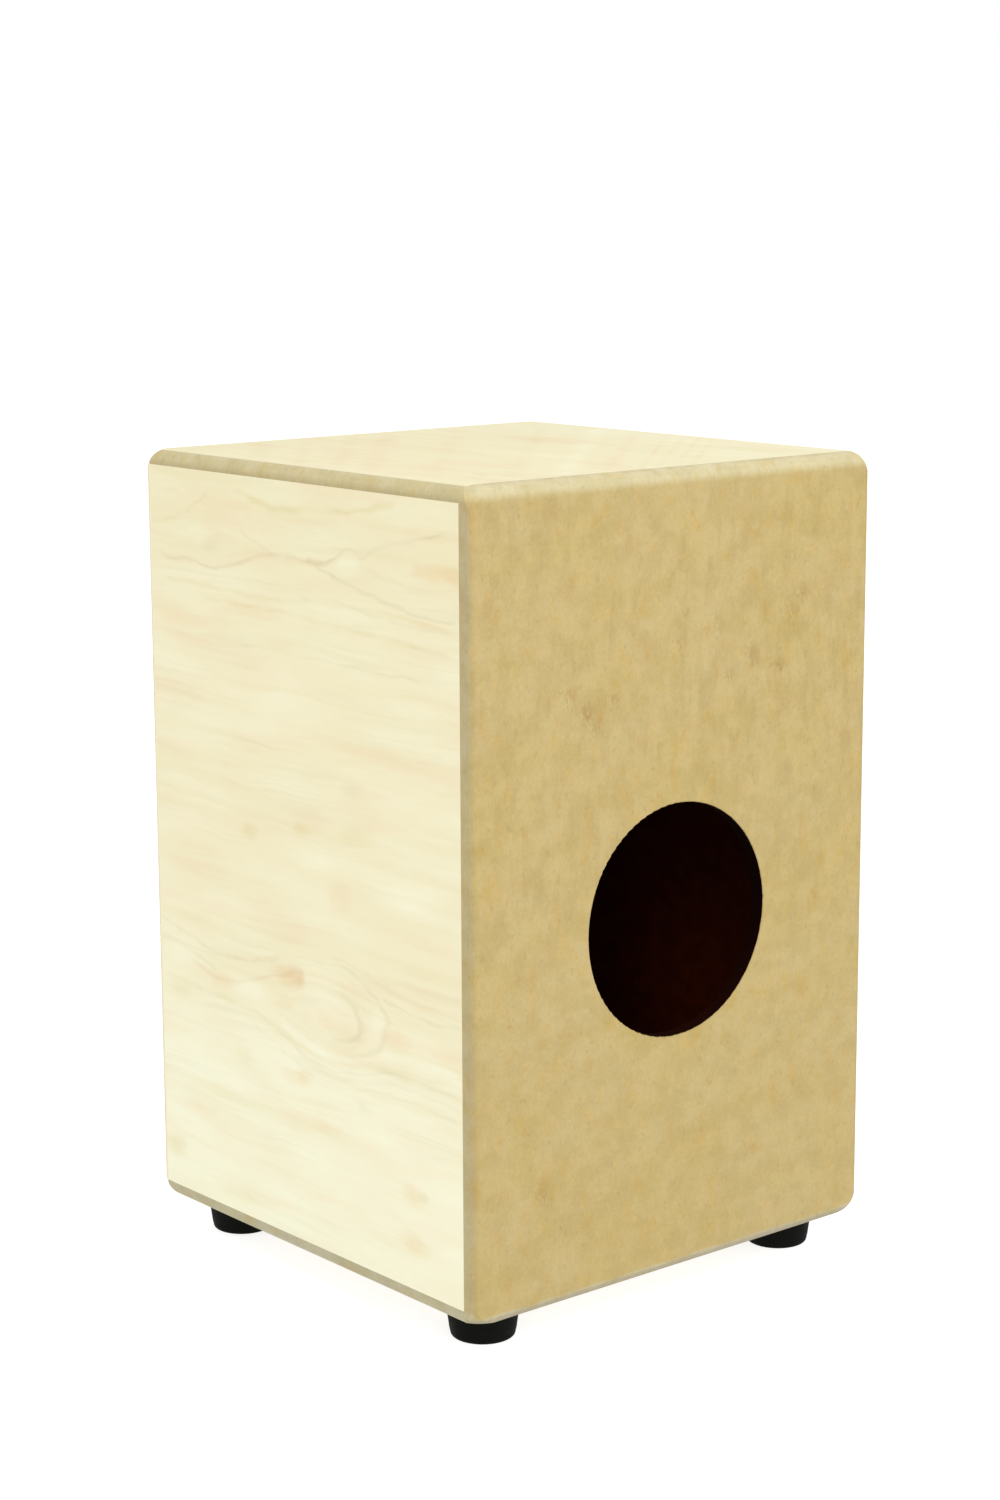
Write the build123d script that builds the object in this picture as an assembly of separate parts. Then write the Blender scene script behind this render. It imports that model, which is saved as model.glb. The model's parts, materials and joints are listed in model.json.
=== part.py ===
from build123d import *
from math import sqrt
import os

# A cajon: a box drum that the player sits on. Millimetres, +Z up.
# Frame: origin on the floor, under the middle of the box. The struck front plate (tapa) faces -Y,
# the back panel with the sound hole faces +Y. Left and right are as seen from in front of the tapa,
# so right is +X.

# Outer box and feet
WIDTH = 300.0  # along X
DEPTH = 300.0  # along Y, tapa and back panel included
BOX_HEIGHT = 460.0  # without the feet
FOOT_HEIGHT = 20.0

# Sheet thicknesses
BOARD = 9.0  # every MDF panel, its veneer included
VENEER = 0.6
TAPA = 3.0  # birch plywood

# Rounding of the outer edges
EDGE_R = 8.5  # top edges, all round
BASE_R = 7.0  # bottom edges along the sides
UNDER_R = 5.0  # bottom edges of the tapa and the back panel
BACK_R = 3.5  # back panel's upright edges
EASED_R = 1.5  # tapa's upright edges
CORNER_R = 13.0  # the eight corners, seen square to a diagonal of the plan
CORNER_AXIS = 130.0  # X and Y of the upright axes that the corners are rounded about
CORNER_SLACK = 0.05  # keeps that rounding off the upright edges between the corners

# Sound hole in the back panel
HOLE_R = 67.0
HOLE_ABOVE_BOX_BOTTOM = 206.0
HOLE_RIM_R = 1.0

# Glue battens inside the corners
BATTEN = 15.0
BATTEN_CHAMFER = 3.0

# Wood screws: countersunk ones for the tapa, the snare blocks and the snare plates
SCREW_RIM = 0.4  # flat cylinder at the widest part of a countersunk head
TAPA_SCREW = {"head_r": 3.5, "shank_r": 1.75, "length": 16.0}
BLOCK_SCREW = {"head_r": 3.5, "shank_r": 1.75, "length": 24.0}
PLATE_SCREW = {"head_r": 2.3, "shank_r": 1.25, "length": 10.0}
RECESS_WIDTH = 0.9  # one arm of the cross in a screw head
RECESS_SHARE = 0.6  # of the head's radius, from the centre to an arm's end
RECESS_DEPTH = 1.4
SIDE_SCREWS = 6  # in each upright row of tapa screws, corners included
TOP_SCREWS = 4  # in the top and the bottom row, corners included

# Feet: tapered rubber, with a deep recess for a washer and a pan-head screw
FOOT_INSET = 34.0  # foot centre from the outer faces
FOOT_TOP_R = 21.6
FOOT_BOTTOM_R = 18.4
FOOT_BOTTOM_FILLET = 2.3
FOOT_TOP_FILLET = 0.8
RECESS_R = 9.5
FOOT_RECESS = 10.0
WASHER_R = 8.5
WASHER_T = 1.2
PAN_HEAD_R = 4.2
PAN_HEAD_T = 2.8
PAN_HEAD_FILLET = 1.2
FOOT_SHANK_R = 2.1
FOOT_SCREW_BITE = 7.5  # how far its point reaches into the base panel

# Snare bar: a flat beech bar on two round tenons, turning in blocks behind the front battens
BAR_AXIS_Z = 405.0
BAR_WIDTH = 36.0  # along Y
BAR_THICK = 12.0
BAR_EDGE_R = 2.0
TENON_R = 5.0
TENON_LENGTH = 14.0
TENON_CLEARANCE = 0.06  # radial, a firm running fit
BLOCK_WIDTH = 18.0  # along X
BLOCK_DEPTH = 30.0  # along Y
BLOCK_HEIGHT = 40.0
BLOCK_EDGE_R = 2.0
BLOCK_SCREW_OFFSET = 13.0  # above and below the bore
BAR_END_GAP = 1.5  # between the bar's shoulder and each block
BORE_END_GAP = 1.0  # between the tenon's end and the bottom of the bore

# Snares: strands of coiled wire soldered to a steel plate, hanging just behind the tapa
STRAND_R = 0.9
STRAND_LENGTH = 90.0
STRAND_GAP = 0.4  # from the tapa's inner face, at rest
STRAND_PITCH = 4.2
STRANDS = 10  # on each plate
STRAND_SEAT = 0.6  # how deep a strand lies in the plate's groove
STRAND_TOP_DROP = 1.5  # from the bar's axis down to the strands' top ends
PLATE_T = 1.2
PLATE_WIDTH = 46.0
PLATE_SCREW_X = 17.0
PLATE_SCREW_RISE = 2.8
SNARE_SET_X = 62.0  # middle of each snare set

# Derived levels
Z_BOTTOM = FOOT_HEIGHT
Z_TOP = FOOT_HEIGHT + BOX_HEIGHT
Z_BASE_TOP = Z_BOTTOM + BOARD
Z_SEAT_UNDER = Z_TOP - BOARD
X_OUT = WIDTH / 2
X_IN = X_OUT - BOARD
Y_FRONT = -DEPTH / 2
Y_TAPA_IN = Y_FRONT + TAPA
Y_BACK = DEPTH / 2
Y_BACK_IN = Y_BACK - BOARD
HOLE_Z = Z_BOTTOM + HOLE_ABOVE_BOX_BOTTOM
STRAND_Y = Y_TAPA_IN + STRAND_GAP + STRAND_R
PLATE_FRONT_Y = STRAND_Y + STRAND_R - STRAND_SEAT
BAR_FRONT_Y = PLATE_FRONT_Y + PLATE_T
BLOCK_FRONT_Y = Y_TAPA_IN + BATTEN
BAR_AXIS_Y = BLOCK_FRONT_Y + BLOCK_DEPTH / 2
SIDES = (("left", -1), ("right", 1))


def slab(x_range, y_range, z_range):
    """A box between two values along each axis, given in either order."""
    spans = [sorted(pair) for pair in (x_range, y_range, z_range)]
    middle = [(low + high) / 2 for low, high in spans]
    return Pos(*middle) * Box(*[high - low for low, high in spans])


def corner(face, x_sign, y_sign):
    """The vertex of a flat face that lies furthest in the given diagonal direction."""
    return max(face.vertices(), key=lambda v: x_sign * v.X + y_sign * v.Y)


def rounded_rectangle(width, height, radii):
    """A rectangle whose corners have their own radii: {(x_sign, y_sign): radius}."""
    face = Rectangle(width, height)
    for (x_sign, y_sign), radius in radii.items():
        face = fillet(corner(face, x_sign, y_sign), radius)
    return face


def envelope():
    """The box's outer shape: three extruded outlines that trim each other, with rounded corners."""
    middle_z = (Z_BOTTOM + Z_TOP) / 2
    front_radii = {(1, 1): EDGE_R, (-1, 1): EDGE_R, (1, -1): BASE_R, (-1, -1): BASE_R}
    from_front = Pos(0, 0, middle_z) * (Plane.XZ * rounded_rectangle(WIDTH, BOX_HEIGHT, front_radii))
    side_radii = {(1, 1): EDGE_R, (-1, 1): EDGE_R, (1, -1): UNDER_R, (-1, -1): UNDER_R}
    from_side = Pos(0, 0, middle_z) * (Plane.YZ * rounded_rectangle(DEPTH, BOX_HEIGHT, side_radii))
    plan_radii = {(1, 1): BACK_R, (-1, 1): BACK_R, (1, -1): EASED_R, (-1, -1): EASED_R}
    from_above = Pos(0, 0, middle_z) * rounded_rectangle(WIDTH, DEPTH, plan_radii)
    body = extrude(from_front, DEPTH / 2, both=True)
    body = body & extrude(from_side, WIDTH / 2, both=True)
    body = body & extrude(from_above, BOX_HEIGHT / 2, both=True)
    for (x_sign, y_sign), upright_r in plan_radii.items():
        body = body - corner_trim(x_sign, y_sign, upright_r)
    return body


def corner_trim(x_sign, y_sign, upright_r):
    """What comes off one upright edge's two ends: all that lies outside a post with rounded rims."""
    middle_z = (Z_BOTTOM + Z_TOP) / 2
    to_edge = (X_OUT - CORNER_AXIS - upright_r * (1 - sqrt(0.5))) * sqrt(2)
    post = Cylinder(to_edge + CORNER_SLACK, BOX_HEIGHT)
    post = fillet(post.edges().filter_by(GeomType.CIRCLE), CORNER_R)
    around = slab(
        (x_sign * CORNER_AXIS, x_sign * (X_OUT + 1)),
        (y_sign * CORNER_AXIS, y_sign * (Y_BACK + 1)),
        (Z_BOTTOM, Z_TOP),
    )
    return around - Pos(x_sign * CORNER_AXIS, y_sign * CORNER_AXIS, middle_z) * post


def lathe(points):
    """A solid turned about Z from (radius, height) points."""
    return revolve(Plane.XZ * make_face(Polyline(*points, close=True)), Axis.Z)


def countersunk_blank(head_r, shank_r, length):
    """A countersunk screw without its recess: head flat at z = 0, point down."""
    neck = -SCREW_RIM - (head_r - shank_r)
    tip = 2 * shank_r
    return lathe([
        (0, 0),
        (head_r, 0),
        (head_r, -SCREW_RIM),
        (shank_r, neck),
        (shank_r, tip - length),
        (0, -length),
    ])


def cross_recess(head_r, depth):
    """The cross-shaped socket cut into a screw head whose top is at z = 0."""
    reach = 2 * RECESS_SHARE * head_r
    arm = Box(reach, RECESS_WIDTH, 2 * depth)
    return arm + Rot(0, 0, 90) * arm


def tapa_screw_spots():
    """Middles of the screw heads, along the centre lines of the front battens."""
    x_row = X_IN - BATTEN / 2
    z_low = Z_BASE_TOP + BATTEN / 2
    z_high = Z_SEAT_UNDER - BATTEN / 2
    spots = []
    for i in range(SIDE_SCREWS):
        z = z_low + (z_high - z_low) * i / (SIDE_SCREWS - 1)
        spots += [(-x_row, z), (x_row, z)]
    for i in range(1, TOP_SCREWS - 1):
        x = -x_row + 2 * x_row * i / (TOP_SCREWS - 1)
        spots += [(x, z_low), (x, z_high)]
    return [Pos(x, Y_FRONT, z) * Rot(90, 0, 0) for x, z in spots]


def block_screw_spots(sign):
    """Two screws through one snare block, into the side panel behind it."""
    x = sign * (X_IN - BLOCK_WIDTH)
    return [
        Pos(x, BAR_AXIS_Y, BAR_AXIS_Z + offset) * Rot(0, -90 * sign, 0)
        for offset in (-BLOCK_SCREW_OFFSET, BLOCK_SCREW_OFFSET)
    ]


def plate_screw_spots(sign):
    """Two screws through one snare plate, into the bar's front edge."""
    middle = sign * SNARE_SET_X
    return [
        Pos(middle + offset, PLATE_FRONT_Y, BAR_AXIS_Z + PLATE_SCREW_RISE) * Rot(90, 0, 0)
        for offset in (-PLATE_SCREW_X, PLATE_SCREW_X)
    ]


def screws_at(spots, size):
    """Finished screws, and the blanks that cut their seats, at each spot."""
    blank = countersunk_blank(**size)
    screw = blank - cross_recess(size["head_r"], RECESS_DEPTH)
    return [spot * screw for spot in spots], [spot * blank for spot in spots]


def foot_spots():
    """Names and plan positions of the four feet."""
    spots = {}
    for end, y_sign in (("front", -1), ("rear", 1)):
        for side, x_sign in SIDES:
            spots[f"foot_{end}_{side}"] = (x_sign * (X_OUT - FOOT_INSET), y_sign * (Y_BACK - FOOT_INSET))
    return spots


def foot_screw_blank():
    """A pan-head wood screw, point up, its head's underside on the washer."""
    under_head = FOOT_RECESS - WASHER_T
    point = Z_BOTTOM + FOOT_SCREW_BITE
    shank = lathe([
        (0, under_head),
        (FOOT_SHANK_R, under_head),
        (FOOT_SHANK_R, point - 2 * FOOT_SHANK_R),
        (0, point),
    ])
    head = Pos(0, 0, under_head - PAN_HEAD_T / 2) * Cylinder(PAN_HEAD_R, PAN_HEAD_T)
    head = fillet(head.edges().sort_by(Axis.Z)[:1], PAN_HEAD_FILLET)
    return head + shank


def foot_screw():
    """The pan-head screw with its cross recess, seen from below."""
    head_face = FOOT_RECESS - WASHER_T - PAN_HEAD_T
    return foot_screw_blank() - Pos(0, 0, head_face) * cross_recess(PAN_HEAD_R, RECESS_DEPTH)


def washer():
    """The flat washer at the top of a foot's recess."""
    middle = FOOT_RECESS - WASHER_T / 2
    ring = Pos(0, 0, middle) * Cylinder(WASHER_R, WASHER_T)
    return ring - Pos(0, 0, middle) * Cylinder(FOOT_SHANK_R, WASHER_T)


def foot():
    """A tapered rubber foot standing on z = 0, with its recess and screw hole."""
    body = Pos(0, 0, FOOT_HEIGHT / 2) * Cone(FOOT_BOTTOM_R, FOOT_TOP_R, FOOT_HEIGHT)
    body = fillet(body.edges().sort_by(Axis.Z)[:1], FOOT_BOTTOM_FILLET)
    body = fillet(body.edges().sort_by(Axis.Z)[-1:], FOOT_TOP_FILLET)
    recess = Pos(0, 0, FOOT_RECESS / 2) * Cylinder(RECESS_R, FOOT_RECESS)
    return body - recess - foot_screw_blank()


def batten(x_range, y_range, z_range):
    """A glue batten whose long edge nearest the middle of the box is chamfered."""
    bar = slab(x_range, y_range, z_range)
    centre = Vector(0, 0, (Z_BOTTOM + Z_TOP) / 2)
    longest = bar.edges().group_by(SortBy.LENGTH)[-1]
    inner = min(longest, key=lambda edge: (edge.center() - centre).length)
    return chamfer(inner, BATTEN_CHAMFER)


def battens():
    """The glue battens by name: frames at the front and the rear, and side runs between them."""
    z_span = (Z_BASE_TOP, Z_SEAT_UNDER)
    upright = (z_span[0] + BATTEN, z_span[1] - BATTEN)
    low = (z_span[0], z_span[0] + BATTEN)
    high = (z_span[1] - BATTEN, z_span[1])
    y_runs = {"front": (Y_TAPA_IN, Y_TAPA_IN + BATTEN), "rear": (Y_BACK_IN - BATTEN, Y_BACK_IN)}
    y_between = (Y_TAPA_IN + BATTEN, Y_BACK_IN - BATTEN)
    made = {}
    for end, y_run in y_runs.items():
        made[f"{end}_batten_top"] = batten((-X_IN, X_IN), y_run, high)
        made[f"{end}_batten_bottom"] = batten((-X_IN, X_IN), y_run, low)
    for side, sign in SIDES:
        x_run = (sign * (X_IN - BATTEN), sign * X_IN)
        for end, y_run in y_runs.items():
            made[f"{end}_batten_{side}"] = batten(x_run, y_run, upright)
        made[f"seat_batten_{side}"] = batten(x_run, y_between, high)
        made[f"base_batten_{side}"] = batten(x_run, y_between, low)
    return made


def panels(shape):
    """The box's boards and veneers by name, trimmed to its outer shape."""
    y_body = (Y_TAPA_IN, Y_BACK_IN)
    full_x = (-X_OUT, X_OUT)
    full_z = (Z_BOTTOM, Z_TOP)
    side_z = (Z_BASE_TOP, Z_SEAT_UNDER)
    made = {
        "seat_panel": shape & slab(full_x, y_body, (Z_SEAT_UNDER, Z_TOP - VENEER)),
        "seat_veneer": shape & slab(full_x, y_body, (Z_TOP - VENEER, Z_TOP)),
        "base_panel": shape & slab(full_x, y_body, (Z_BOTTOM, Z_BASE_TOP)),
        "tapa": shape & slab(full_x, (Y_FRONT, Y_TAPA_IN), full_z),
        "back_panel": back_panel(shape & slab(full_x, (Y_BACK_IN, Y_BACK), full_z)),
    }
    for side, sign in SIDES:
        made[f"{side}_side_panel"] = slab((sign * X_IN, sign * (X_OUT - VENEER)), y_body, side_z)
        made[f"{side}_side_veneer"] = slab((sign * (X_OUT - VENEER), sign * X_OUT), y_body, side_z)
    return made


def back_panel(board):
    """The back panel with its sound hole, the hole's outer rim softened."""
    hole = Pos(0, Y_BACK - BOARD / 2, HOLE_Z) * Rot(90, 0, 0) * Cylinder(HOLE_R, 2 * BOARD)
    board = board - hole
    rims = board.edges().filter_by(GeomType.CIRCLE).filter_by(lambda e: abs(e.radius - HOLE_R) < HOLE_RIM_R)
    return fillet(rims.sort_by(Axis.Y)[-1:], HOLE_RIM_R)


def snare_bar():
    """The flat bar with a round tenon at each end."""
    half = X_IN - BLOCK_WIDTH - BAR_END_GAP
    bar = slab(
        (-half, half),
        (BAR_FRONT_Y, BAR_FRONT_Y + BAR_WIDTH),
        (BAR_AXIS_Z - BAR_THICK / 2, BAR_AXIS_Z + BAR_THICK / 2),
    )
    rear = bar.edges().filter_by(Axis.X).sort_by(Axis.Y)[-2:]
    bar = fillet(rear, BAR_EDGE_R)
    tenon_end = X_IN - BLOCK_WIDTH + TENON_LENGTH
    tenons = Pos(0, BAR_AXIS_Y, BAR_AXIS_Z) * Rot(0, 90, 0) * Cylinder(TENON_R, 2 * tenon_end)
    return bar + tenons


def snare_block(sign):
    """A bearing block on the side panel, behind the front batten, with a blind bore."""
    block = slab(
        (sign * (X_IN - BLOCK_WIDTH), sign * X_IN),
        (BLOCK_FRONT_Y, BLOCK_FRONT_Y + BLOCK_DEPTH),
        (BAR_AXIS_Z - BLOCK_HEIGHT / 2, BAR_AXIS_Z + BLOCK_HEIGHT / 2),
    )
    block = fillet(block.edges().filter_by(Axis.X).sort_by(Axis.Y)[-2:], BLOCK_EDGE_R)
    depth = TENON_LENGTH + BORE_END_GAP
    middle = sign * (X_IN - BLOCK_WIDTH + depth / 2)
    bore = Pos(middle, BAR_AXIS_Y, BAR_AXIS_Z) * Rot(0, 90, 0) * Cylinder(TENON_R + TENON_CLEARANCE, depth)
    return block - bore


def snare_wires(sign):
    """One set of snare strands, each a straight rod of the coil's outer diameter."""
    top = BAR_AXIS_Z - STRAND_TOP_DROP
    first = sign * SNARE_SET_X - STRAND_PITCH * (STRANDS - 1) / 2
    strand = Cylinder(STRAND_R, STRAND_LENGTH)
    return [
        Pos(first + STRAND_PITCH * i, STRAND_Y, top - STRAND_LENGTH / 2) * strand
        for i in range(STRANDS)
    ]


def snare_plate(sign):
    """The steel plate across the bar's front edge, before grooves and screw holes."""
    middle = sign * SNARE_SET_X
    return slab(
        (middle - PLATE_WIDTH / 2, middle + PLATE_WIDTH / 2),
        (PLATE_FRONT_Y, PLATE_FRONT_Y + PLATE_T),
        (BAR_AXIS_Z - BAR_THICK / 2, BAR_AXIS_Z + BAR_THICK / 2),
    )


def cut(body, tools):
    """The body with each tool taken out of it."""
    for tool in tools:
        body = body - tool
    return body


def add_tapa_screws(nodes):
    """Screws that hold the tapa to the front battens."""
    screws, seats = screws_at(tapa_screw_spots(), TAPA_SCREW)
    front = [f"front_batten_{place}" for place in ("left", "right", "top", "bottom")]
    for name in ["tapa", *front]:
        nodes[name] = cut(nodes[name], seats)
    nodes["tapa_screws"] = screws


def add_feet(nodes):
    """Four feet, each held by one screw and washer in its recess."""
    screws, washers = [], []
    for name, (x, y) in foot_spots().items():
        nodes[name] = Pos(x, y, 0) * foot()
        screws.append(Pos(x, y, 0) * foot_screw())
        washers.append(Pos(x, y, 0) * washer())
        nodes["base_panel"] = nodes["base_panel"] - Pos(x, y, 0) * foot_screw_blank()
    nodes["foot_washers"] = washers
    nodes["foot_screws"] = screws


def add_snares(nodes):
    """The turning snare bar, its blocks, and a snare set on each side."""
    bar = snare_bar()
    block_screws, plate_screws = [], []
    for side, sign in SIDES:
        screws, seats = screws_at(block_screw_spots(sign), BLOCK_SCREW)
        nodes[f"snare_block_{side}"] = cut(snare_block(sign), seats)
        nodes[f"{side}_side_panel"] = cut(nodes[f"{side}_side_panel"], seats)
        block_screws += screws
        wires = snare_wires(sign)
        screws, seats = screws_at(plate_screw_spots(sign), PLATE_SCREW)
        nodes[f"snare_plate_{side}"] = cut(snare_plate(sign), wires + seats)
        nodes[f"snare_wires_{side}"] = wires
        plate_screws += screws
        bar = cut(bar, seats)
    nodes["snare_bar"] = bar
    nodes["snare_block_screws"] = block_screws
    nodes["snare_plate_screws"] = plate_screws


def write(nodes):
    """Each node to its own STEP file."""
    os.makedirs("parts", exist_ok=True)
    for name, body in nodes.items():
        shape = Compound(children=body) if isinstance(body, list) else body
        export_step(shape, f"parts/{name}.step")


nodes = panels(envelope())
nodes.update(battens())
add_tapa_screws(nodes)
add_feet(nodes)
add_snares(nodes)
write(nodes)
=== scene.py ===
import json
import math
import bpy
from mathutils import Matrix, Vector


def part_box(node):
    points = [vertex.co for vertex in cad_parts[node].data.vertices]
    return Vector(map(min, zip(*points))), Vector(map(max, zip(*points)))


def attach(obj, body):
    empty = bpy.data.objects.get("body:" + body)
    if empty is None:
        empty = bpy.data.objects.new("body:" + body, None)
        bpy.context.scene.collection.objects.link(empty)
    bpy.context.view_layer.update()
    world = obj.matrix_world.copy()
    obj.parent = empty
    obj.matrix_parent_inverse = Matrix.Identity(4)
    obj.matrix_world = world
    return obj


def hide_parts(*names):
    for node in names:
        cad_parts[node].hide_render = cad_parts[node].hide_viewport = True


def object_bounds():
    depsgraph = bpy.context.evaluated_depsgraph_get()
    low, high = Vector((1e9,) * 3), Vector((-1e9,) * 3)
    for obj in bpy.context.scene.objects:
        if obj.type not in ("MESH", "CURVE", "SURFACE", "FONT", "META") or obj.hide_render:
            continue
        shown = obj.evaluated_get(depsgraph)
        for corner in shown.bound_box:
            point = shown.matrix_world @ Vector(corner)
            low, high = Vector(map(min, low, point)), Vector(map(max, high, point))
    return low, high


# A cajon on a white studio floor. Everything is in metres in the part's own frame: the origin is on the
# floor under the box, the tapa faces -Y and the back panel with the sound hole faces +Y. Materials work
# in millimetres of the same frame.

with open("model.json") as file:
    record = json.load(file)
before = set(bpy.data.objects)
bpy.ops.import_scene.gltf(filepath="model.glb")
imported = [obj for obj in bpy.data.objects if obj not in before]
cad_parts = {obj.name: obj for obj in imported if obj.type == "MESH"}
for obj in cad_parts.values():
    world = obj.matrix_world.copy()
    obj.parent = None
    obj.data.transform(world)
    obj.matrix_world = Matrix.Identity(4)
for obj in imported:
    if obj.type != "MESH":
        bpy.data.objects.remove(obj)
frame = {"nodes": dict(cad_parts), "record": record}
cad_low, cad_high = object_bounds()
MM = 0.001


# ---------------------------------------------------------------- sizes read from the frame, in millimetres

def span(node):
    """A CAD node's lowest and highest corners in millimetres."""
    low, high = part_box(node)
    return low / MM, high / MM


BACK_LOW, BACK_HIGH = span("back_panel")
TAPA_LOW, TAPA_HIGH = span("tapa")
X_OUT = BACK_HIGH.x
X_IN = span("right_side_panel")[0].x
Y_BACK = BACK_HIGH.y
Y_BACK_IN = BACK_LOW.y
Y_TAPA_IN = TAPA_HIGH.y
Z_TOP = BACK_HIGH.z
Z_BOTTOM = BACK_LOW.z
Z_BASE_TOP = span("base_panel")[1].z
Z_SEAT_UNDER = span("seat_panel")[0].z
BASE_THICK = Z_BASE_TOP - Z_BOTTOM
TAPA_THICK = TAPA_HIGH.y - TAPA_LOW.y
HOLE = next(m for m in frame["record"]["mounts"] if m["name"] == "sound_hole")
HOLE_R = HOLE["dims"]["r_mm"]
HOLE_X, HOLE_Z = HOLE["pos_m"][0] / MM, HOLE["pos_m"][2] / MM


# ---------------------------------------------------------------- shader building

class Value:
    """A number inside a shader. Ordinary arithmetic on it adds math nodes."""

    def __init__(self, shader, socket):
        self.shader = shader
        self.socket = socket

    def do(self, operation, *others):
        return self.shader.math(operation, self, *others)

    def __add__(self, other):
        return self.do("ADD", other)

    __radd__ = __add__

    def __sub__(self, other):
        return self.do("SUBTRACT", other)

    def __rsub__(self, other):
        return self.shader.math("SUBTRACT", other, self)

    def __mul__(self, other):
        return self.do("MULTIPLY", other)

    __rmul__ = __mul__

    def __truediv__(self, other):
        return self.do("DIVIDE", other)

    def __abs__(self):
        return self.do("ABSOLUTE")

    def below(self, limit):
        return self.do("LESS_THAN", limit)

    def above(self, limit):
        return self.do("GREATER_THAN", limit)

    def most(self, other):
        return self.do("MAXIMUM", other)

    def fraction(self):
        return self.do("FRACT")

    def ramp(self, start, end, low=0.0, high=1.0):
        """Low before start, high after end, and a smooth rise between them."""
        return self.shader.ramp(self, start, end, low, high)


class Shader:
    """One material: its node tree, with the position in millimetres ready to use."""

    def __init__(self, name):
        self.material = bpy.data.materials.new(name)
        self.material.use_nodes = True
        self.tree = self.material.node_tree
        self.bsdf = self.tree.nodes["Principled BSDF"]
        raw = self.tree.nodes.new("ShaderNodeTexCoord").outputs["Object"]
        self.place = self.vector("SCALE", raw, scale=1 / MM)
        split = self.add("ShaderNodeSeparateXYZ", {"Vector": self.place})
        self.x, self.y, self.z = (Value(self, split.outputs[axis]) for axis in "XYZ")

    def add(self, kind, inputs, **settings):
        """A new node with its settings, its inputs given as numbers, colours or sockets."""
        node = self.tree.nodes.new(kind)
        for key, value in settings.items():
            setattr(node, key, value)
        for key, value in inputs.items():
            self.feed(node.inputs[key], value)
        return node

    def feed(self, socket, value):
        """Links a socket or a Value, and sets a number or a colour on the socket itself."""
        value = value.socket if isinstance(value, Value) else value
        if isinstance(value, bpy.types.NodeSocket):
            self.tree.links.new(value, socket)
        else:
            socket.default_value = value

    def math(self, operation, *values):
        node = self.add("ShaderNodeMath", dict(enumerate(values)), operation=operation)
        return Value(self, node.outputs[0])

    def linear(self, value, start, end, low=0.0, high=1.0):
        """Low before start, high after end, and a straight rise between them."""
        inputs = {"Value": value, "From Min": start, "From Max": end, "To Min": low, "To Max": high}
        return Value(self, self.add("ShaderNodeMapRange", inputs).outputs[0])

    def ramp(self, value, start, end, low=0.0, high=1.0):
        """The same with a smooth rise. A start above the end makes it fall instead."""
        if start > end:
            start, end, low, high = end, start, high, low
        inputs = {"Value": value, "From Min": start, "From Max": end, "To Min": low, "To Max": high}
        return Value(self, self.add("ShaderNodeMapRange", inputs, interpolation_type="SMOOTHSTEP").outputs[0])

    def vector(self, operation, first, second=None, third=None, scale=None):
        inputs = {0: first}
        if second is not None:
            inputs[1] = second
        if third is not None:
            inputs[2] = third
        if scale is not None:
            inputs["Scale"] = scale
        node = self.add("ShaderNodeVectorMath", inputs, operation=operation)
        return node.outputs["Value" if operation == "LENGTH" else "Vector"]

    def combine(self, x, y, z):
        return self.add("ShaderNodeCombineXYZ", {"X": x, "Y": y, "Z": z}).outputs[0]

    def noise(self, size, seed=0.0, detail=2.0, at=None, rough=0.5):
        """Noise from about 0.25 to 0.75, whose blotches are about size millimetres along each axis."""
        start = (seed, seed * 1.7, seed * 2.3)
        spread = self.vector("MULTIPLY_ADD", at or self.place, [1 / s for s in size], start)
        inputs = {"Vector": spread, "Scale": 1.0, "Detail": detail, "Roughness": rough}
        return Value(self, self.add("ShaderNodeTexNoise", inputs).outputs[0])

    def reach(self, at, centre, radii):
        """How far a point is from an oval's middle, in radii. Two numbers each mean a flat oval."""
        flat = (0.0,) * (3 - len(radii))
        scale = [1 / r for r in radii] + list(flat)
        offset = [-c / r for c, r in zip(centre, radii)] + list(flat)
        return Value(self, self.vector("LENGTH", self.vector("MULTIPLY_ADD", at, scale, offset)))

    def spot(self, at, centre, radii, core=0.15):
        """1 at the middle of an oval and 0 outside it."""
        return self.reach(at, centre, radii).ramp(1.0, core)

    def mix(self, factor, first, second, blend="MIX"):
        """The first colour at factor 0 and the second at factor 1."""
        node = self.add("ShaderNodeMix", {0: factor}, data_type="RGBA", blend_type=blend)
        self.feed(node.inputs[6], first)
        self.feed(node.inputs[7], second)
        return node.outputs[2]

    def tint(self, factor, colour, tone):
        """The colour at factor 0 and the colour times the tone at factor 1."""
        return self.mix(factor, colour, tone, "MULTIPLY")

    def tint_layers(self, colour, layers):
        """The colour under each (factor, tone) layer in turn."""
        for factor, tone in layers:
            colour = self.tint(factor, colour, tone)
        return colour

    def bump(self, height, distance):
        """A normal from a height of 0 to 1, whose full step is distance metres."""
        inputs = {"Height": height, "Distance": distance, "Strength": 1.0}
        return self.add("ShaderNodeBump", inputs).outputs[0]

    def finish(self, colour, roughness, normal=None, **fixed):
        """The material, with its surface wired up. fixed holds sockets that are the same all over."""
        self.feed(self.bsdf.inputs["Base Color"], colour)
        self.feed(self.bsdf.inputs["Roughness"], roughness)
        if normal is not None:
            self.feed(self.bsdf.inputs["Normal"], normal)
        for key, value in fixed.items():
            self.bsdf.inputs[key].default_value = value
        return self.material


def rgba(red, green, blue):
    """A colour from 0 to 255 sRGB values, as the linear colour that shaders use."""
    def linear(c):
        c /= 255
        return c / 12.92 if c <= 0.04045 else ((c + 0.055) / 1.055) ** 2.4
    return (linear(red), linear(green), linear(blue), 1.0)


# ---------------------------------------------------------------- maple veneer

SIDE_MAPLE = (0.740, 0.680, 0.461, 1.0)
SEAT_MAPLE = (0.695, 0.624, 0.392, 1.0)

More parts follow.
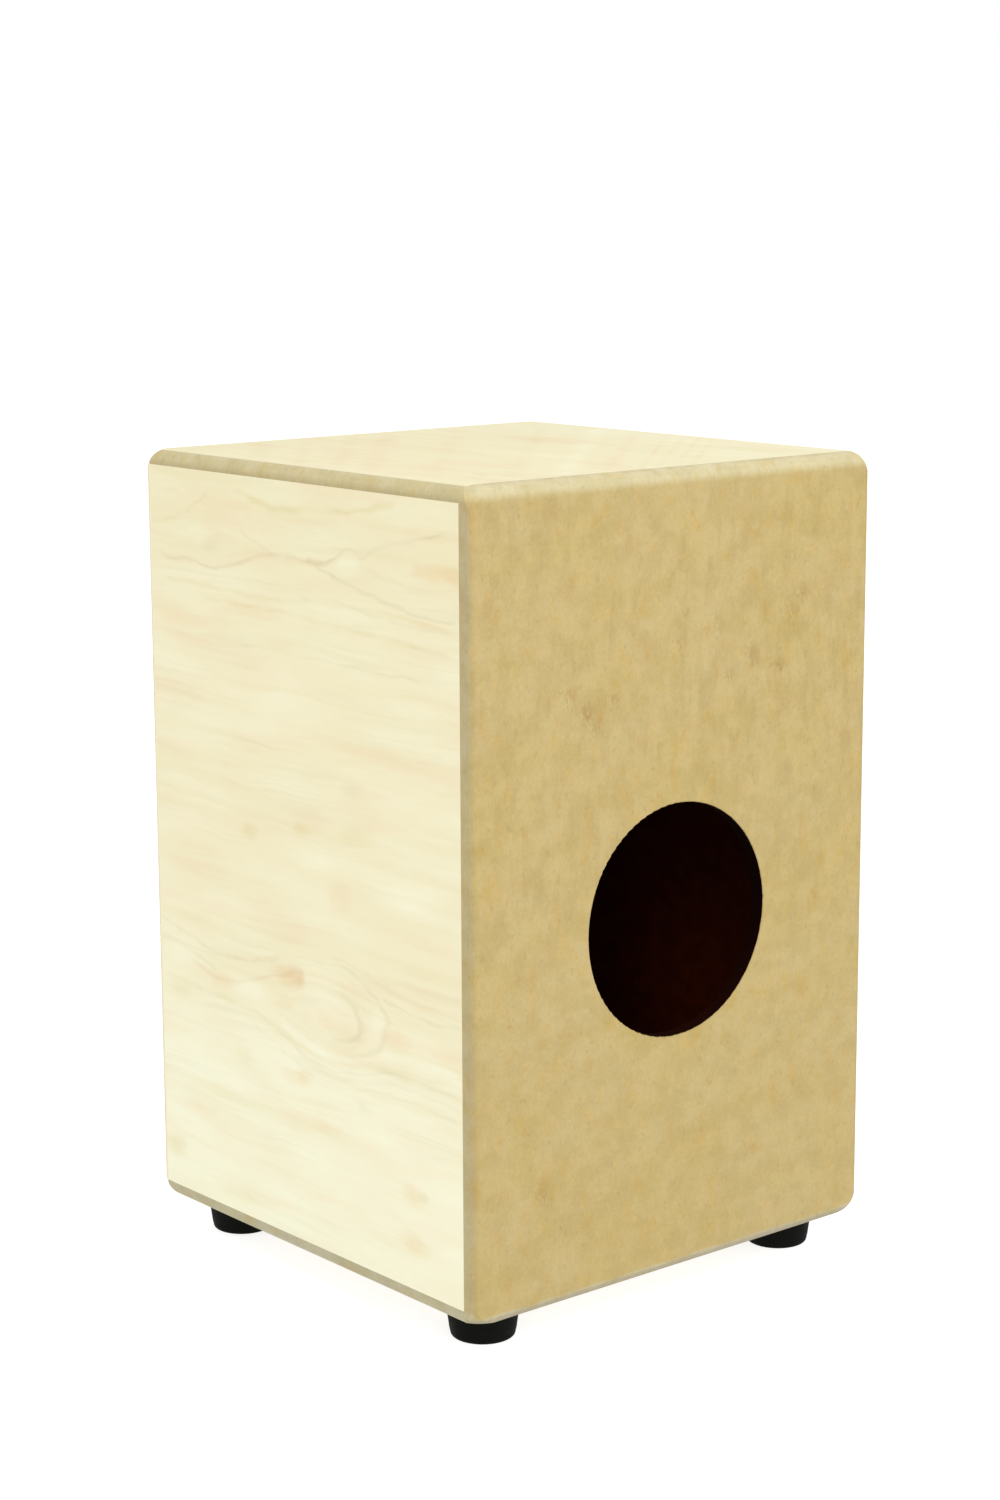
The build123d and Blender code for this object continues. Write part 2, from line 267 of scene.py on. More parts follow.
# What each marking multiplies the veneer's colour by at full strength
TONES = {
    "line": (0.78, 0.77, 0.72, 1.0),
    "tan": (0.92, 0.71, 0.50, 1.0),
    "pink": (0.98, 0.80, 0.72, 1.0),
    "olive": (0.85, 0.79, 0.57, 1.0),
    "knot": (0.80, 0.56, 0.37, 1.0),
    # pale also stands for painted light: on the right side's lower band it is bounce light from the floor
    "pale": (1.04, 1.09, 1.17, 1.0),
}

# Figures: grain is the strength of the growth lines, eyes push those lines apart, veins are single lines,
# arcs are the right halves of oval lines, and spots are ovals of colour. Every place is (along the grain,
# across the grain) in millimetres.
RIGHT_SIDE_FIGURE = {
    "grain": 1.0,
    "bands": [
        # tone, strength, from, to: across the grain, the sheet's colour drifts between the two. The pale band
        # here is painted light: bounce from the floor, paler and bluer towards the bottom
        ("pale", 0.85, 195, 105),
        ("olive", 0.15, 370, 450),
    ],
    "eyes": [
        # centre, radii
        ((16, 170), (60, 26)),
        ((-86, 432), (44, 16)),
        ((86, 428), (70, 15)),
    ],
    "veins": [
        # tone, half width, strength, points
        ("line", 2.2, 0.36, [
            (-147, 424), (-127, 418), (-107, 418), (-87, 416), (-67, 419), (-47, 424), (-20, 429),
            (20, 428), (33, 432), (50, 438), (56, 434), (66, 439), (93, 446), (141, 456),
        ]),
        ("knot", 3.6, 0.16, [(-14, 429), (8, 428), (24, 429), (40, 433)]),
        ("tan", 2.4, 0.18, [(-75, 418), (-58, 421), (-40, 426), (-22, 429)]),
        ("line", 2.0, 0.36, [(-56, 440), (-50, 437), (-44, 435), (-32, 431), (-20, 429)]),
        ("line", 2.0, 0.34, [(13, 427), (30, 422), (46, 419), (60, 415), (86, 412), (106, 408), (141, 408)]),
        ("olive", 3.4, 0.36, [
            (-66, 464), (-35, 457), (-17, 455), (15, 457), (40, 458), (66, 462), (90, 466),
        ]),
        ("line", 1.8, 0.2, [(-147, 459), (-130, 457), (-110, 462)]),
        ("olive", 2.6, 0.2, [(-147, 404), (-100, 405), (-40, 403), (20, 406), (141, 400)]),
        ("olive", 3.0, 0.26, [
            (-100, 392), (-74, 397), (-47, 397), (26, 395), (66, 393), (106, 391), (141, 392),
        ]),
        ("pink", 5.0, 0.14, [(-92, 389), (-60, 393), (26, 391), (66, 389), (106, 387), (141, 388)]),
        ("olive", 2.4, 0.2, [(-147, 437), (-122, 442), (-101, 451), (-86, 461)]),
        ("line", 1.4, 0.22, [(-64, 374), (0, 374), (70, 373), (141, 374)]),
        ("tan", 2.8, 0.16, [(-150, 199), (-114, 191), (-80, 186), (-50, 189), (-24, 196), (2, 199)]),
        ("line", 1.6, 0.26, [(-150, 198), (-114, 190), (-80, 185), (-50, 188), (-24, 195)]),
        ("knot", 2.8, 0.13, [
            (-127, 179), (-107, 174), (-86, 170), (-60, 174), (-44, 179), (-27, 184), (-10, 187),
        ]),
        ("line", 1.6, 0.2, [(-70, 171), (-55, 175), (-40, 180), (-25, 185), (-10, 189)]),
        ("line", 1.8, 0.3, [(70, 191), (83, 189), (106, 186), (141, 189)]),
        ("line", 1.8, 0.24, [(-40, 154), (-16, 147), (16, 139), (53, 143), (86, 150), (141, 148)]),
        ("line", 1.6, 0.16, [(-10, 132), (30, 131), (80, 137), (141, 135)]),
        ("olive", 3.0, 0.22, [
            (-147, 162), (-100, 160), (-50, 157), (-20, 150), (16, 144), (60, 149), (141, 156),
        ]),
        ("line", 2.0, 0.22, [(-147, 187), (-124, 183), (-104, 178), (-88, 175)]),
        ("line", 2.0, 0.18, [(-60, 151), (-30, 143), (6, 134), (40, 137), (90, 144), (141, 142)]),
        ("pale", 4.0, 0.6, [(-30, 158), (-6, 151), (20, 147), (56, 152), (90, 160), (141, 161)]),
        ("olive", 2.4, 0.2, [(20, 206), (50, 203), (80, 196), (110, 193), (141, 195)]),
        ("line", 1.6, 0.16, [(-147, 412), (-90, 411), (-30, 412), (30, 409), (90, 402), (141, 401)]),
    ],
    "arcs": [
        # tone, centre, radii, half width, strength
        ("line", (16, 171), (37, 15), 2.6, 0.42),
        ("line", (18, 175), (57, 27), 2.2, 0.26),
        ("tan", (12, 172), (48, 21), 2.0, 0.1),
    ],
    "spots": [
        # tone, centre, radii, strength
        ("tan", (-17, 186), (20, 11), 0.34),
        ("knot", (-9, 187), (11, 10), 0.26),
        ("knot", (-5, 186), (5, 6), 0.2),
        ("pink", (106, 432), (8, 7), 0.3),
        ("tan", (118, 432), (18, 8), 0.32),
        ("tan", (136, 432), (16, 8), 0.4),
        ("line", (-87, 429), (13, 7), 0.22),
        ("pink", (-77, 441), (24, 14), 0.12),
        ("tan", (-84, 381), (38, 13), 0.12),
        ("tan", (-125, 385), (30, 11), 0.08),
        ("olive", (-2, 274), (12, 6), 0.42),
        ("pink", (8, 281), (26, 9), 0.2),
        ("olive", (-52, 265), (12, 7), 0.36),
        ("olive", (50, 280), (20, 9), 0.24),
        ("line", (46, 304), (13, 8), 0.18),
        ("line", (10, 308), (40, 10), 0.08),
        ("pink", (33, 241), (17, 15), 0.26),
        ("pink", (-102, 234), (48, 9), 0.2),
        ("tan", (100, 225), (55, 10), 0.07),
        ("pink", (-86, 169), (18, 9), 0.32),
        ("olive", (-127, 156), (18, 8), 0.24),
        ("tan", (83, 169), (19, 10), 0.3),
        ("tan", (131, 168), (24, 10), 0.2),
        ("tan", (-22, 168), (14, 9), 0.14),
        ("pink", (18, 168), (15, 9), 0.2),
        ("tan", (-3, 128), (12, 8), 0.26),
        ("tan", (-14, 126), (20, 7), 0.2),
        ("olive", (-64, 128), (18, 7), 0.3),
        ("line", (53, 124), (10, 6), 0.24),
        ("tan", (98, 84), (15, 9), 0.34),
        ("line", (107, 85), (7, 5), 0.24),
        ("tan", (99, 56), (20, 10), 0.34),
        ("olive", (-137, 54), (15, 11), 0.44),
        ("olive", (-77, 100), (66, 7), 0.24),
        ("olive", (20, 103), (26, 6), 0.2),
        ("olive", (-69, 39), (36, 7), 0.22),
        ("pale", (43, 428), (22, 8), 0.75),
        ("pale", (-105, 434), (30, 9), 0.5),
        ("pale", (-124, 178), (30, 9), 0.5),
        ("pale", (-54, 170), (24, 9), 0.8),
        ("pale", (18, 180), (38, 16), 0.55),
        ("pale", (66, 175), (12, 14), 0.4),
        ("pale", (10, 258), (26, 11), 0.5),
        ("pale", (100, 250), (52, 11), 0.5),
    ],
}
LEFT_SIDE_FIGURE = {
    "grain": 1.0,
    "bands": [("pale", 0.5, 330, 440), ("olive", 0.1, 180, 60)],
    "eyes": [((-40, 330), (70, 24)), ((70, 140), (60, 20))],
    "veins": [
        ("line", 2.2, 0.36, [(-147, 352), (-100, 350), (-60, 356), (-10, 360), (50, 351), (141, 346)]),
        ("line", 2.0, 0.3, [(-147, 300), (-90, 306), (-30, 301), (40, 309), (141, 312)]),
        ("pink", 3.0, 0.4, [(-147, 226), (-60, 229), (30, 223), (141, 228)]),
        ("pink", 2.4, 0.45, [(-30, 150), (20, 156), (60, 162), (110, 157), (141, 158)]),
        ("line", 1.8, 0.28, [(-147, 88), (-70, 92), (10, 86), (90, 91), (141, 88)]),
    ],
    "arcs": [("line", (70, 140), (34, 14), 2.4, 0.3)],
    "spots": [
        ("knot", (52, 143), (13, 8), 0.32),
        ("pink", (-46, 331), (28, 10), 0.3),
        ("olive", (-92, 256), (17, 8), 0.34),
        ("pink", (98, 262), (34, 9), 0.24),
        ("olive", (12, 196), (20, 8), 0.28),
        ("tan", (-104, 118), (13, 7), 0.36),
        ("pink", (20, 423), (44, 9), 0.24),
        ("pale", (78, 140), (24, 10), 0.7),
    ],
}
# The seat's slanting stripes: tone, half width, strength, and where each one crosses the middle line
SEAT_EDGE = 141
SEAT_STRIPES = [
    *(("tan", 5.0, 0.15, crossing) for crossing in (-130, -145, -160, -175)),
    ("pink", 9.0, 0.20, -100),
    ("pale", 14.0, 0.50, -65),
    ("olive", 12.0, 0.13, -20),
    ("tan", 13.0, 0.09, 45),
    ("pink", 15.0, 0.20, 95),
    *(("tan", 10.0, 0.12, crossing) for crossing in (120, 150)),
    ("olive", 13.0, 0.14, 180),
]


def slanting_vein(tone, half_width, strength, crossing):
    """A seat stripe from edge to edge. The stripes fan out, steeper towards the left."""
    slope = 0.95 - crossing / 1000
    start = max(-SEAT_EDGE, (-SEAT_EDGE - crossing) / slope)
    end = min(SEAT_EDGE, (SEAT_EDGE - crossing) / slope)
    points = [(along, crossing + slope * along) for along in (start, end)]
    return (tone, half_width, strength, points)


SEAT_FIGURE = {
    "grain": 0.45,
    "bands": [("pale", 0.5, -40, -140)],
    "eyes": [((-20, -60), (90, 26)), ((60, 70), (80, 22))],
    "veins": [slanting_vein(*stripe) for stripe in SEAT_STRIPES],
    "arcs": [],
    "spots": [
        ("knot", (105, 105), (9, 6), 0.16),
        ("pink", (60, 70), (46, 20), 0.26),
        ("pink", (-30, -60), (50, 20), 0.3),
        ("pink", (-60, 70), (42, 14), 0.26),
        ("olive", (-100, 20), (36, 14), 0.24),
        ("tan", (-120, 90), (26, 11), 0.26),
        ("olive", (90, -105), (40, 16), 0.2),
        ("pale", (30, 10), (60, 14), 0.5),
        ("pale", (110, -70), (40, 10), 0.5),
    ],
}
TAPA_FIGURE = {
    "grain": 1.0,
    "bands": [("pale", 0.5, 20, 120)],
    "eyes": [((250, 10), (120, 40)), ((90, -60), (70, 22))],
    "veins": [
        ("pink", 3.0, 0.32, [(20, -112), (140, -108), (300, -114), (480, -110)]),
        ("line", 2.2, 0.34, [(20, -36), (120, -40), (250, -52), (380, -40), (480, -34)]),
        ("line", 2.2, 0.34, [(20, 34), (130, 42), (250, 58), (370, 44), (480, 36)]),
        ("pink", 3.0, 0.32, [(20, 98), (160, 104), (320, 97), (480, 101)]),
    ],
    "arcs": [],
    "spots": [
        ("pink", (250, 6), (64, 11), 0.34),
        ("olive", (140, 84), (24, 9), 0.28),
        ("knot", (392, -84), (11, 7), 0.3),
        ("pink", (92, -60), (28, 9), 0.36),
        ("olive", (430, 66), (34, 8), 0.26),
    ],
}
RING_PITCH = 7.5
EYE_REACH = 1.25  # how far beyond its own outline an eye bends the growth lines, as a share of its radii
EYE_PUSH = 0.8
WANDER = 14  # how far a growth line strays slowly across the grain, in millimetres
RIPPLE = 5
RIPPLE_ALONG = 3  # how much more than across the grain the ripple moves a marking along it
RING_DRIFT = 30  # how far uneven growth moves the lines
RING_RIPPLE = 0.6
GLUE_LINE_HALF = 0.12
INNER_SKIN = 0.05  # depth of the tapa's inner surface that takes its brown


def growth_lines(field, pitch):
    """Soft dark lines where the field passes each multiple of pitch, sharper on one side, as late wood is."""
    saw = (field / pitch).fraction()
    return saw.ramp(0.3, 0.85) * saw.ramp(1.0, 0.88)


def vein(shader, along, across, half_width, points):
    """A soft line through the points, fading out at both ends."""
    first, last = points[0][0], points[-1][0]
    heights = [height for _, height in points]
    low, high = min(heights) - 1, max(heights) + 1
    share = shader.linear(along, first, last)
    node = shader.add("ShaderNodeFloatCurve", {"Value": share})
    curve = node.mapping.curves[0]
    for point, (u, v) in zip(curve.points, (points[0], points[-1])):
        point.location = ((u - first) / (last - first), (v - low) / (high - low))
    for u, v in points[1:-1]:
        curve.points.new((u - first) / (last - first), (v - low) / (high - low))
    node.mapping.update()
    line = Value(shader, node.outputs[0]) * (high - low) + low
    fade = (share * (1 - share)).ramp(0.0, 0.06)
    return abs(across - line).ramp(half_width, 0.0) * fade


class Grain:
    """How the fibres run in one sheet: its two axes, and a slow wander and a small ripple in every line."""

    def __init__(self, shader, along, across, eyes, seed):
        self.u, self.v = getattr(shader, along), getattr(shader, across)
        self.flat = shader.combine(self.u, self.v, 0.0)
        wander = (shader.noise((90, 26, 1), seed, 2, at=self.flat) - 0.5) * WANDER
        self.ripple = (shader.noise((15, 7, 1), seed + 3, 3, at=self.flat) - 0.5) * RIPPLE
        self.bent = shader.combine(self.u + self.ripple * RIPPLE_ALONG, self.v + self.ripple, 0.0)
        self.field = self.v + wander
        self.nearest = 0.0
        for centre, radii in eyes:
            near = shader.spot(self.bent, centre, [r * EYE_REACH for r in radii], core=0.0)
            self.field = self.field - (self.v - centre[1]) * near * EYE_PUSH
            self.nearest = near + self.nearest
        self.along_field = shader.combine(self.u, self.field, 0.0)


def plain_veneer(shader, base, grain, fibre, flecks, figure, seed):
    """The sheet's colour before its markings: patches, drifts, painted light in some bands, growth lines,
    fibres and short flecks.
    """
    uneven = shader.noise((300, 11, 1), seed + 5, 1, at=grain.along_field)
    rings = growth_lines(grain.field + uneven * RING_DRIFT + grain.ripple * RING_RIPPLE, RING_PITCH)
    ring_strength = shader.noise((110, 24, 1), seed + 7, 1, at=grain.flat).ramp(0.45, 0.75, 0.0, 0.16)
    ring_strength = ring_strength + grain.nearest * 0.18
    streaks = shader.noise((170, 6, 1), seed + 21, 2, at=grain.along_field)
    patches = shader.noise((80, 22, 1), seed + 13, 3, at=grain.flat)
    blush = shader.noise((100, 16, 1), seed + 15, 2, at=grain.along_field)

    colour = shader.tint(patches.ramp(0.3, 0.7, 0.0, 0.65), base, TONES["pale"])
    # the bands hold drifts of colour and, on the right side, painted bounce light from the floor
    for tone, strength, start, end in figure["bands"]:
        colour = shader.tint(grain.v.ramp(start, end, 0.0, strength), colour, TONES[tone])
    layers = [
        ("pink", blush.ramp(0.48, 0.75, 0.0, 0.23)),
        ("olive", streaks.ramp(0.48, 0.7, 0.0, 0.15 * figure["grain"])),
        ("line", rings * ring_strength * figure["grain"]),
        ("tan", fibre.ramp(0.4, 0.75, 0.0, 0.07)),
        ("knot", flecks * 0.1),
    ]
    for tone, strength in layers:
        colour = shader.tint(strength, colour, TONES[tone])
    return colour


def paint_figure(shader, colour, grain, figure, seed):
    """The figure's veins, arcs and spots over the plain veneer."""
    worn = shader.noise((22, 30, 1), seed + 19, 1, at=grain.flat).ramp(0.35, 0.65, 0.5, 1.3)
    for tone, half_width, strength, points in figure["veins"]:
        line = vein(shader, grain.u, grain.v + grain.ripple, half_width, points)
        colour = shader.tint(line * worn * strength, colour, TONES[tone])
    for tone, centre, radii, half_width, strength in figure["arcs"]:
        line = abs(shader.reach(grain.bent, centre, radii) - 1).ramp(half_width / radii[1], 0.0)
        right = grain.u.ramp(centre[0], centre[0] + radii[0] * 0.7)
        colour = shader.tint(line * worn * right * strength, colour, TONES[tone])
    for tone, centre, radii, strength in figure["spots"]:
        colour = shader.tint(shader.spot(grain.bent, centre, radii) * strength, colour, TONES[tone])
    return colour


def maple(name, base, along, across, figure, seed, tapa=False):
    """Satin-lacquered maple veneer. along and across name the axes of the grain."""
    shader = Shader(name)
    grain = Grain(shader, along, across, figure["eyes"], seed)
    fibre = shader.noise((30, 1.1, 1), seed + 9, 3, at=grain.along_field, rough=0.65)
    flecks = shader.noise((3.2, 0.45, 1), seed + 11, 1, at=grain.flat).ramp(0.68, 0.8)
    colour = plain_veneer(shader, base, grain, fibre, flecks, figure, seed)
    colour = paint_figure(shader, colour, grain, figure, seed)
    if tapa:
        colour = plies(shader, colour, seed)
    height = fibre * 0.6 + flecks.ramp(0.0, 1.0, 0.4, 0.0)
    roughness = fibre.ramp(0.3, 0.7, 0.5, 0.58)
    return shader.finish(colour, roughness, shader.bump(height, 0.00002), **{"Specular IOR Level": 0.25})


def plies(shader, face_colour, seed):
    """The tapa's aged inner face, and its edges: pale faces and a browner core between thin glue lines."""
    depth = shader.y - TAPA_LOW.y
    ply = TAPA_THICK / 3
    end_grain = shader.noise((0.8, 6, 0.8), seed + 23, 2)
    core_colour = shader.mix(end_grain.ramp(0.35, 0.65), rgba(205, 190, 158), rgba(222, 210, 182))
    core = depth.ramp(ply * 0.96, ply * 1.04) * depth.ramp(ply * 2.04, ply * 1.96)
    glue = abs(abs(depth - ply * 1.5) - ply * 0.5).ramp(GLUE_LINE_HALF, GLUE_LINE_HALF / 4)
    inner_face = depth.above(TAPA_THICK - INNER_SKIN)
    colour = shader.tint(inner_face, face_colour, (0.74, 0.46, 0.30, 1))
    colour = shader.mix(core, colour, core_colour)
    return shader.mix(glue * 0.5, colour, rgba(160, 136, 104))


# ---------------------------------------------------------------- MDF boards with their dark inside

MDF_FACE = (0.420, 0.328, 0.153, 1.0)
# the paler routed core together with painted sheen, lighter and bluer where the top's rounding faces the
# light
MDF_TOP_EDGE_CORE_AND_SHEEN = (0.506, 0.448, 0.276, 1.0)
MDF_CUT_EDGE = (0.425, 0.390, 0.275, 1.0)
STAIN = (0.056, 0.0085, 0.0040, 1.0)
FLECK_TONE = (0.66, 0.52, 0.36, 1.0)
SKIN = 0.2  # how far beyond the inner faces the stain reaches
WALL_SKIN = 0.35  # the same for the sound hole's wall
STAIN_STOP = 0.6  # from the back's outer face to the end of the stain in the hole

# Where the boards are worked and where light and shade are painted on their edges, as distances short of a
# face: it begins at the first and is full at the second
TOP_CORE_AND_SHEEN = (10.0, 4.0)
ROUTED_BOTTOM = (-6.5, -4.0)
RIM = (9.0, 6.0)
SAWN_END = (1.2, 0.2)
SAWN_STRENGTH = 0.4
BASE_CORNER_SQUARED = (52.0, 68.0)  # squared distances from the middle of the base's rounding
# painted highlight on the upper part of the seat's side edge, where its rounding turns up to the light
SIDE_TOP_HIGHLIGHT = (6.0, 2.0)
# painted sheen: the very top of the boards lighter and bluer, as a reflection of the white sky
CROWN_SHEEN = (3.0, 0.8)
PAST_CORNER = (4.5, 1.0)
# painted shade on the back's rounded bottom edge, which faces down
LOWER_RIM_SHADE = (-5.5, -3.5)
FLECK_STRAY = 16.0  # how far the noise moves a fleck's outline


def hole_wall(shader):
    """1 on the sound hole's wall and 0 elsewhere."""
    from_hole = shader.combine(shader.x - HOLE_X, 0.0, shader.z - HOLE_Z)
    return Value(shader, shader.vector("LENGTH", from_hole)).below(HOLE_R + WALL_SKIN)


def between(value, low, high):
    """1 between two planes and a little beyond them, 0 elsewhere."""
    return abs(value - (low + high) / 2).below((high - low) / 2 + SKIN)


def inside_mask(shader):
    """1 on the surfaces inside the box and on the sound hole's wall, 0 outside."""
    rough_edge = (shader.noise((3, 3, 3), 41, 1) - 0.5) * 0.5
    within = between(shader.x, -X_IN, X_IN)
    within = within * between(shader.y, Y_TAPA_IN, Y_BACK_IN)
    within = within * between(shader.z, Z_BASE_TOP, Z_SEAT_UNDER)
    wall = hole_wall(shader) * (shader.y + rough_edge).below(Y_BACK - STAIN_STOP)
    return within.most(wall * shader.y.above(Y_BACK_IN - 1))


def near(value, face, depths):
    """0 before the first depth short of a face and 1 past the second. Negative depths lie above the face."""
    start, full = depths
    return value.ramp(face - start, face - full)


def worked_and_sheen_edges(shader, wobble):
    """Where the core shows, with painted sheen along the top: routed along the top and round the bottom
    edges, and sawn on the boards' ends.
    """
    top = near(shader.z + wobble, Z_TOP, TOP_CORE_AND_SHEEN)
    out = (abs(shader.x) - (X_OUT - BASE_THICK)).most(0.0)
    down = (Z_BASE_TOP - shader.z).most(0.0)
    round_corner = (out * out + down * down).ramp(*BASE_CORNER_SQUARED) * down.above(0.0)
    rim = near(abs(shader.x), X_OUT, RIM).most(near(shader.y, Y_BACK, RIM))
    under = near(shader.z + wobble, Z_BOTTOM, ROUTED_BOTTOM).most(round_corner) * rim
    sawn = near(abs(shader.x), X_OUT, SAWN_END) * SAWN_STRENGTH
    return top, under.most(sawn)


def mdf_edges(shader, mottle):
    """The pressed faces' colour and the core's where it shows, with a painted highlight on the side's top
    band, painted sheen along the very top, darker along the upright corners and painted shade on the lower
    rim.
    """
    top, cut = worked_and_sheen_edges(shader, (mottle - 0.5) * 3)
    colour = shader.mix(cut, MDF_FACE, MDF_CUT_EDGE)
    # painted sheen along the top's rounding, over the paler routed core
    colour = shader.mix(top, colour, MDF_TOP_EDGE_CORE_AND_SHEEN)
    side_top_highlight = top * near(abs(shader.x), X_OUT, SIDE_TOP_HIGHLIGHT)
    crown_sheen = near(shader.z, Z_TOP, CROWN_SHEEN)
    past_corner = near(abs(shader.x) + shader.y, X_OUT + Y_BACK, PAST_CORNER)
    lower_rim_shade = near(shader.z, Z_BOTTOM, LOWER_RIM_SHADE) * shader.y.above(Y_BACK_IN)
    layers = [
        # painted highlight on the side's top band
        (side_top_highlight, (1.055, 1.045, 1.03, 1)),
        # painted sheen along the very top
        (crown_sheen, (1.05, 1.06, 1.12, 1)),
        (past_corner, (0.92, 0.92, 0.93, 1)),
        # painted shade on the lower rim
        (lower_rim_shade, (0.82, 0.80, 0.83, 1)),
    ]
    return shader.tint_layers(colour, layers)


def mdf_mottling(shader, colour, seed, mottle, grit, fibres):
    """Clouds, streaks and rusty patches over the boards, with fine grit and fibres on top."""
    clouds = shader.noise((46, 46, 40), seed + 12, 2)
    streaks = shader.noise((7, 7, 20), seed + 2, 2)
    streaks_here = shader.z.ramp(150, 330, 0.25, 0.8)
    clumps = shader.noise((3.4, 3.4, 4.4), seed + 8, 1).ramp(0.62, 0.8)
    rust = shader.noise((8, 8, 13), seed + 14, 3)
    layers = [
        (clouds.ramp(0.4, 0.65), (0.99, 0.98, 0.90, 1)),
        (mottle.ramp(0.36, 0.66), (0.93, 0.92, 0.87, 1)),
        (streaks.ramp(0.45, 0.68) * streaks_here, (0.93, 0.915, 0.89, 1)),
        (rust.ramp(0.5, 0.7), (1.01, 0.96, 0.85, 1)),
        (rust.ramp(0.5, 0.3), (0.985, 0.99, 0.93, 1)),
        (grit.ramp(0.38, 0.7), (1.06, 1.06, 1.07, 1)),
        (fibres.ramp(0.55, 0.78), (0.94, 0.93, 0.90, 1)),
        (clumps, (0.92, 0.91, 0.88, 1)),
    ]
    return shader.tint_layers(colour, layers)


def inside_stain_and_painted_light(shader, mottle):
    """The dark stain, with painted light low down towards the rear where light falls in through the hole, and
    nearly black on the hole's wall.
    """
    layers = [
        (mottle.ramp(0.3, 0.7), (0.75, 0.7, 0.65, 1)),
        # painted light: lighter low down towards the rear, where light falls in through the hole
        (shader.z.ramp(240, 110) * shader.y.ramp(-70, 30), (4.0, 4.5, 1.6, 1)),
        (hole_wall(shader), (0.09, 0.07, 0.07, 1)),
    ]
    return shader.tint_layers(STAIN, layers)


def mdf(name, seed, flecks=()):
    """Sealed MDF: tan and mottled on its pressed faces, paler where a router has cut into its core, with
    painted sheen, highlight and shade along its edges and painted light inside.
    """
    shader = Shader(name)
    mottle = shader.noise((14, 14, 12), seed, 3)
    grit = shader.noise((1.7, 1.7, 2.2), seed + 4, 2, rough=0.6)
    fibres = shader.noise((0.8, 0.8, 4), seed + 6, 2, rough=0.6)
    colour = mdf_edges(shader, mottle)
    colour = mdf_mottling(shader, colour, seed, mottle, grit, fibres)
    stray_x = (grit - 0.5) * FLECK_STRAY
    stray_z = (mottle + fibres - 1) * FLECK_STRAY
    ragged = shader.combine(shader.x + stray_x, shader.y, shader.z + stray_z)
    broken = fibres.ramp(0.35, 0.6, 0.5, 1.0)
    for centre, radii, strength in flecks:
        spot = shader.spot(ragged, centre, radii)
        colour = shader.tint(spot * broken * strength, colour, FLECK_TONE)

    inside = inside_mask(shader)
    colour = shader.mix(inside, colour, inside_stain_and_painted_light(shader, mottle))
    height = grit * 0.7 + fibres * 0.3
    roughness = shader.linear(inside, 0, 1, 0.6, 0.95)
    return shader.finish(colour, roughness, shader.bump(height, 0.00003), **{"Specular IOR Level": 0.05})


# ---------------------------------------------------------------- solid wood, rubber and metal

def stained_pine(name):
    """Glue battens painted with the same dark stain as the inside, the grain just showing through."""
    shader = Shader(name)
    grain = shader.noise((1.4, 1.4, 1.4), 61, 2)
    colour = shader.tint(grain.ramp(0.35, 0.7), STAIN, (1.6, 1.9, 2.0, 1))
    roughness = grain.ramp(0.3, 0.7, 0.65, 0.8)
    return shader.finish(colour, roughness, shader.bump(grain, 0.0001), **{"Specular IOR Level": 0.3})


def beech(name, size):
    """Bare beech: pinkish tan with short dark ray flecks. size is the flecks' length along each axis."""
    shader = Shader(name)
    grain = shader.noise([s * 14 if s > 1 else 1.1 for s in size], 71, 2, rough=0.6)
    rays = shader.noise(size, 73, 1).ramp(0.6, 0.72)
    colour = shader.mix(grain.ramp(0.3, 0.7), rgba(214, 178, 138), rgba(196, 154, 112))
    colour = shader.mix(rays * 0.6, colour, rgba(150, 104, 68))
    return shader.finish(colour, grain.ramp(0.3, 0.7, 0.5, 0.62), shader.bump(grain, 0.00003))


def rubber(name):
    """Matt black moulded rubber with a fine grain and a little pale dust."""
    shader = Shader(name)
    grain = shader.noise((0.5, 0.5, 0.5), 81, 2)
    dust = shader.noise((9, 9, 4), 83, 3)
    colour = shader.mix(dust.ramp(0.5, 0.8, 0.0, 0.5), rgba(9, 11, 7), rgba(22, 23, 18))
    roughness = dust.ramp(0.3, 0.7, 0.6, 0.75)
    return shader.finish(colour, roughness, shader.bump(grain, 0.00006), **{"Specular IOR Level": 0.06})


def metal(name, light, dark, roughness, grain=(0.4, 0.4, 6.0)):
    """Steel with fine drawing marks and a slightly cloudy surface."""
    shader = Shader(name)
    marks = shader.noise(grain, 91, 2)
    cloud = shader.noise((5, 5, 5), 93, 2)
    colour = shader.mix(cloud.ramp(0.3, 0.7), light, dark)
    spread = marks.ramp(0.3, 0.7, roughness * 0.75, roughness * 1.25)
    return shader.finish(colour, spread, shader.bump(marks, 0.00001), Metallic=1.0)


def black_screw(name):
    """Black phosphate on the screw heads, rubbed a little brighter where the driver has touched them."""
    shader = Shader(name)
    rubbed = shader.noise((0.8, 0.8, 0.8), 95, 2)
    colour = shader.mix(rubbed.ramp(0.5, 0.75), rgba(30, 30, 31), rgba(70, 69, 68))
    roughness = rubbed.ramp(0.3, 0.7, 0.35, 0.55)
    return shader.finish(colour, roughness, shader.bump(rubbed, 0.00004), Metallic=0.6)


